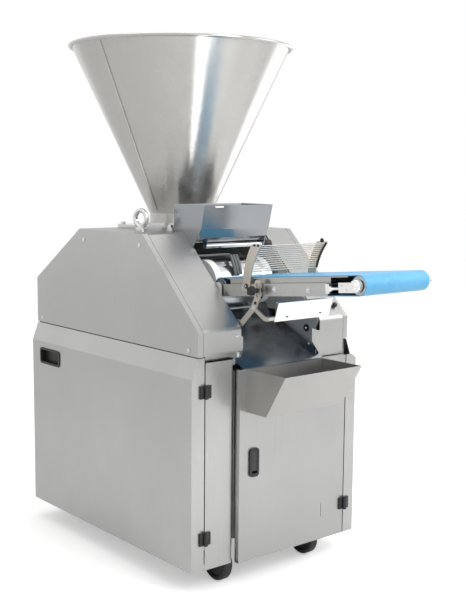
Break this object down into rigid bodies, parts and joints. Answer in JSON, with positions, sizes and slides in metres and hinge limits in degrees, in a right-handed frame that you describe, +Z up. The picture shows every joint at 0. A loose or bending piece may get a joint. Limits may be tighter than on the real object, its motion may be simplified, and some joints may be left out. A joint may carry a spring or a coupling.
{
  "type": "dough divider",
  "caption": "Wheeled dough divider: conical hopper over a piston, knife and measuring drum, flour duster, tilting discharge belt with guard, hinged doors and a scrap trough.",
  "frame": {"origin": "on the floor, midway across and midway along the machine's footprint box, conveyor included", "axes": "+Z up, the conveyor and the trough point towards -Y, +X to the right of someone who faces the trough"},
  "size_m": [0.814, 1.5724, 1.815],
  "materials": {
    "frame_paint": "grey painted square tube",
    "machined_steel": "machined and oiled steel",
    "stainless": "brushed stainless sheet",
    "satin_stainless": "satin stainless sheet",
    "dark_stainless": "stainless sheet in the shaded bay",
    "warm_stainless": "bead-blasted stainless arm",
    "polished_sheet": "polished stainless sheet",
    "chrome_steel": "ground and plated steel",
    "roller_steel": "ground roller tube",
    "cast_block": "machined casting",
    "tank_paint": "dark painted tank and motor",
    "control_paint": "powder-coated box",
    "caster_steel": "black pressed steel",
    "black_plastic": "glass-filled black plastic",
    "handle_metal": "dark coated lever",
    "black_wheel": "black caster tyre and hub",
    "white_plastic": "white food-grade plastic",
    "blue_belt": "light blue food belt",
    "green_plastic": "green push button",
    "red_plastic": "red mushroom button"
  },
  "bodies": {
    "cabinet": {"base_frame": "frame_paint", "inner_frame": "machined_steel", "top_deck": "stainless", "rear_cover": "stainless", "left_side_plate": "stainless", "right_side_plate": "stainless", "front_cheek_panels": "stainless", "lower_front_panels": "stainless", "scrap_chute": "dark_stainless", "hopper": "satin_stainless", "hopper_base": "satin_stainless", "eye_bolts": "chrome_steel", "suction_chamber": "cast_block", "drum_bearings": "chrome_steel", "hydraulic_cylinders": "chrome_steel", "hydraulic_pack": "tank_paint", "flour_box": "stainless", "flour_motor": "black_plastic", "drum_scraper": "dark_stainless", "hinge_leaves": "black_plastic", "control_box": "control_paint", "cable_gland": "black_plastic", "cap_screws": "chrome_steel", "rear_caster_forks": "caster_steel", "conveyor_brackets": "warm_stainless", "lower_guard_plate": "polished_sheet"},
    "drum": {"drum": "chrome_steel", "drum_end_discs": "white_plastic", "drum_pinion": "machined_steel"},
    "measuring_piston": {"measuring_piston": "white_plastic"},
    "drum_rack": {"drum_rack": "machined_steel"},
    "dough_piston": {"main_piston": "chrome_steel", "ram_rod": "chrome_steel"},
    "knife": {"knife": "chrome_steel"},
    "flour_roller": {"flour_roller": "chrome_steel"},
    "conveyor": {"conveyor_frame": "satin_stainless", "conveyor_belt": "blue_belt", "conveyor_tensioners": "chrome_steel"},
    "front_roller": {"front_roller": "roller_steel"},
    "rear_roller": {"rear_roller": "roller_steel"},
    "guard": {"front_guard": "warm_stainless"},
    "tilt_knob": {"tilt_knob": "black_plastic"},
    "left_door": {"left_door": "stainless", "left_door_fittings": "black_plastic"},
    "right_door": {"right_door": "stainless", "right_door_fittings": "black_plastic"},
    "front_door": {"front_door": "stainless", "front_door_fittings": "black_plastic", "trough": "satin_stainless"},
    "front_handle": {"front_handle": "handle_metal"},
    "front_left_fork": {"front_left_fork": "caster_steel"},
    "front_right_fork": {"front_right_fork": "caster_steel"},
    "front_left_wheel": {"front_left_wheel": "black_wheel"},
    "front_right_wheel": {"front_right_wheel": "black_wheel"},
    "rear_left_wheel": {"rear_left_wheel": "black_wheel"},
    "rear_right_wheel": {"rear_right_wheel": "black_wheel"},
    "handwheel": {"handwheel": "chrome_steel"},
    "start_button": {"start_button": "green_plastic"},
    "stop_button": {"stop_button": "black_plastic"},
    "emergency_stop": {"emergency_stop": "red_plastic"}
  },
  "joints": [
    {"name": "drum_turn", "type": "hinge", "parent": "cabinet", "child": "drum", "pos_m": [0, -0.00805, 0.983], "axis": [1, 0, 0], "range_deg": [-150, 0]},
    {"name": "rack_slide", "type": "slide", "parent": "cabinet", "child": "drum_rack", "axis": [0, 1, 0], "range_m": [-0.1048, 0]},
    {"name": "measuring_slide", "type": "slide", "parent": "drum", "child": "measuring_piston", "axis": [0, -0.866, 0.5], "range_m": [-0.06, 0]},
    {"name": "dough_piston_slide", "type": "slide", "parent": "cabinet", "child": "dough_piston", "axis": [0, 1, 0], "range_m": [-0.23, 0]},
    {"name": "knife_slide", "type": "slide", "parent": "cabinet", "child": "knife", "axis": [0, 1, 0], "range_m": [-0.165, 0]},
    {"name": "flour_roller_turn", "type": "hinge", "parent": "cabinet", "child": "flour_roller", "pos_m": [0, -0.01405, 1.112], "axis": [1, 0, 0], "continuous": true},
    {"name": "conveyor_tilt", "type": "hinge", "parent": "cabinet", "child": "conveyor", "pos_m": [0, -0.12605, 0.984], "axis": [1, 0, 0], "range_deg": [-4, 4]},
    {"name": "rear_roller_turn", "type": "hinge", "parent": "conveyor", "child": "rear_roller", "pos_m": [0, -0.12605, 0.984], "axis": [1, 0, 0], "continuous": true},
    {"name": "front_roller_turn", "type": "hinge", "parent": "conveyor", "child": "front_roller", "pos_m": [0, -0.75525, 1.04348], "axis": [1, 0, 0], "continuous": true},
    {"name": "guard_swing", "type": "hinge", "parent": "conveyor", "child": "guard", "pos_m": [-0.145, -0.26823, 0.99945], "axis": [1, 0, 0], "range_deg": [0, 18]},
    {"name": "tilt_knob_turn", "type": "hinge", "parent": "conveyor", "child": "tilt_knob", "pos_m": [-0.155, -0.32828, 0.99106], "axis": [1, 0, 0], "continuous": true},
    {"name": "left_door_swing", "type": "hinge", "parent": "cabinet", "child": "left_door", "pos_m": [-0.307, -0.26635, 0.4], "axis": [0, 0, 1], "range_deg": [0, 110]},
    {"name": "right_door_swing", "type": "hinge", "parent": "cabinet", "child": "right_door", "pos_m": [0.307, 0.77825, 0.4], "axis": [0, 0, 1], "range_deg": [0, 110]},
    {"name": "front_door_swing", "type": "hinge", "parent": "cabinet", "child": "front_door", "pos_m": [0.31, -0.28835, 0.4], "axis": [0, 0, 1], "range_deg": [0, 100]},
    {"name": "front_handle_pull", "type": "hinge", "parent": "front_door", "child": "front_handle", "pos_m": [-0.118, -0.27505, 0.388], "axis": [1, 0, 0], "range_deg": [0, 35], "stiffness_Nm_per_rad": 0.2},
    {"name": "front_left_swivel", "type": "hinge", "parent": "cabinet", "child": "front_left_fork", "pos_m": [-0.198, -0.15705, 0.14], "axis": [0, 0, 1], "continuous": true},
    {"name": "front_right_swivel", "type": "hinge", "parent": "cabinet", "child": "front_right_fork", "pos_m": [0.198, -0.15705, 0.14], "axis": [0, 0, 1], "continuous": true},
    {"name": "front_left_roll", "type": "hinge", "parent": "front_left_fork", "child": "front_left_wheel", "pos_m": [-0.198, -0.19205, 0.0625], "axis": [1, 0, 0], "continuous": true},
    {"name": "front_right_roll", "type": "hinge", "parent": "front_right_fork", "child": "front_right_wheel", "pos_m": [0.198, -0.19205, 0.0625], "axis": [1, 0, 0], "continuous": true},
    {"name": "rear_left_roll", "type": "hinge", "parent": "cabinet", "child": "rear_left_wheel", "pos_m": [-0.198, 0.66995, 0.0625], "axis": [1, 0, 0], "continuous": true},
    {"name": "rear_right_roll", "type": "hinge", "parent": "cabinet", "child": "rear_right_wheel", "pos_m": [0.198, 0.66995, 0.0625], "axis": [1, 0, 0], "continuous": true},
    {"name": "handwheel_turn", "type": "hinge", "parent": "cabinet", "child": "handwheel", "pos_m": [0.35, 0.16995, 0.9], "axis": [1, 0, 0], "continuous": true},
    {"name": "start_button_press", "type": "slide", "parent": "cabinet", "child": "start_button", "axis": [-1, 0, 0], "range_m": [0, 0.0035], "stiffness_N_per_m": 400},
    {"name": "stop_button_press", "type": "slide", "parent": "cabinet", "child": "stop_button", "axis": [-1, 0, 0], "range_m": [0, 0.0035], "stiffness_N_per_m": 400},
    {"name": "emergency_stop_press", "type": "slide", "parent": "cabinet", "child": "emergency_stop", "axis": [-1, 0, 0], "range_m": [0, 0.006], "stiffness_N_per_m": 800}
  ],
  "couplings": [
    {"joint": "rack_slide", "follows": "drum_turn", "m_per_rad": 0.04},
    {"joint": "front_roller_turn", "follows": "rear_roller_turn", "ratio": 1}
  ]
}
